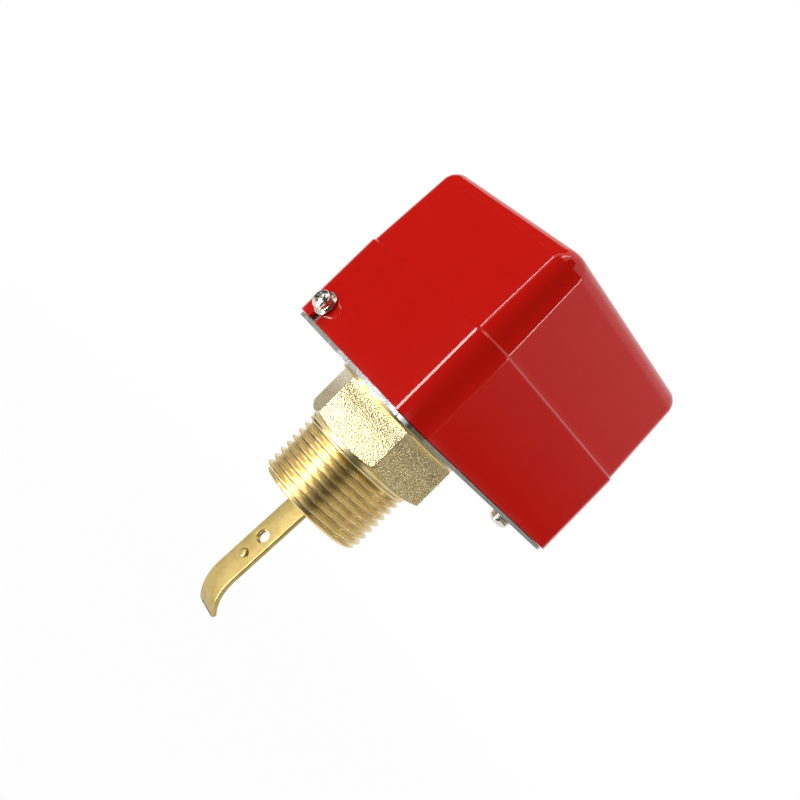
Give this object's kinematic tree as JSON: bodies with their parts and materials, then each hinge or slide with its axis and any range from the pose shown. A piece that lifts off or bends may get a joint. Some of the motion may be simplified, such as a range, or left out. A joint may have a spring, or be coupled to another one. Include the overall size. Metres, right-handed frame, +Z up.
{
  "type": "paddle flow switch",
  "caption": "Paddle flow switch: brass threaded body with a swinging arm, lift-off red cover, snap switch, adjustable range spring and cable grommet.",
  "frame": {"origin": "on the axis of the pipe thread, in the plane where the thread meets the underside of the hexagon", "axes": "+Z up the thread axis towards the cover, paddle arm down; +X downstream, the way the water flows; +Y completes the right hand"},
  "size_m": [0.0854, 0.063, 0.1303],
  "materials": {
    "cover_red_paint": "gloss",
    "body_brass": "satin, shot-blasted hexagon",
    "arm_brass": "rolled",
    "stem_brass": "turned",
    "bellows_bronze": "formed",
    "seal_rubber": "matt",
    "grommet_rubber": "matt",
    "zinc_sheet": "galvanised",
    "zinc_bracket": "zinc plated",
    "nickel_screws": "nickel plated",
    "pin_steel": "ground",
    "spring_steel": "drawn wire",
    "switch_black": "moulded",
    "switch_lid_brown": "moulded",
    "plunger_plastic": "moulded",
    "insulation": "pressed sheet",
    "terminal_brass": "stamped"
  },
  "bodies": {
    "base": {"brass_body": "body_brass", "bellows": "bellows_bronze", "bellows_seal": "seal_rubber", "bellows_ring": "stem_brass", "base_tray": "zinc_sheet", "cable_grommet": "grommet_rubber", "cover_screws": "nickel_screws", "cover_spring_washers": "nickel_screws", "cover_flat_washers": "nickel_screws", "pivot_yoke": "zinc_bracket", "pivot_pin": "pin_steel", "pin_clip": "spring_steel", "body_screws": "nickel_screws", "mechanism_bracket": "zinc_bracket", "bracket_screws": "nickel_screws", "bracket_washers": "nickel_screws", "insulating_sheet": "insulation", "switch_case": "switch_black", "switch_lid": "switch_lid_brown", "switch_screws": "nickel_screws", "terminals": "terminal_brass", "terminal_screws": "nickel_screws", "range_spring": "spring_steel", "earth_screw": "terminal_brass", "earth_washer": "terminal_brass"},
    "lever": {"paddle_arm": "arm_brass", "stem": "stem_brass", "main_lever": "zinc_bracket", "stem_washer": "spring_steel", "stem_nut": "nickel_screws"},
    "plunger": {"switch_plunger": "plunger_plastic"},
    "adjuster": {"range_screw": "pin_steel", "range_clip": "spring_steel"},
    "seat_nut": {"spring_seat": "stem_brass"},
    "cover_shell": {"cover": "cover_red_paint"}
  },
  "joints": [
    {"name": "paddle_swing", "type": "hinge", "parent": "base", "child": "lever", "pos_m": [0, 0, 0.0185], "axis": [0, -1, 0], "range_deg": [0, 5], "stiffness_Nm_per_rad": 0.8, "springref_deg": -6.88, "deforming": ["range_spring"]},
    {"name": "plunger_press", "type": "slide", "parent": "base", "child": "plunger", "axis": [0, 0, 1], "range_m": [0, 0.0018]},
    {"name": "range_turn", "type": "hinge", "parent": "base", "child": "adjuster", "pos_m": [0.0108, 0, 0.05], "axis": [0, 0, 1], "range_deg": [-5400, 1800]},
    {"name": "seat_travel", "type": "slide", "parent": "base", "child": "seat_nut", "axis": [0, 0, 1], "range_m": [-0.0035, 0.0105]},
    {"name": "cover_lift", "type": "slide", "parent": "base", "child": "cover_shell", "axis": [0, 0, 1], "range_m": [0, 0.06]}
  ],
  "couplings": [
    {"joint": "plunger_press", "follows": "paddle_swing", "m_per_rad": 0.0202},
    {"joint": "range_turn", "follows": "seat_travel", "rad_per_m": -8976}
  ]
}
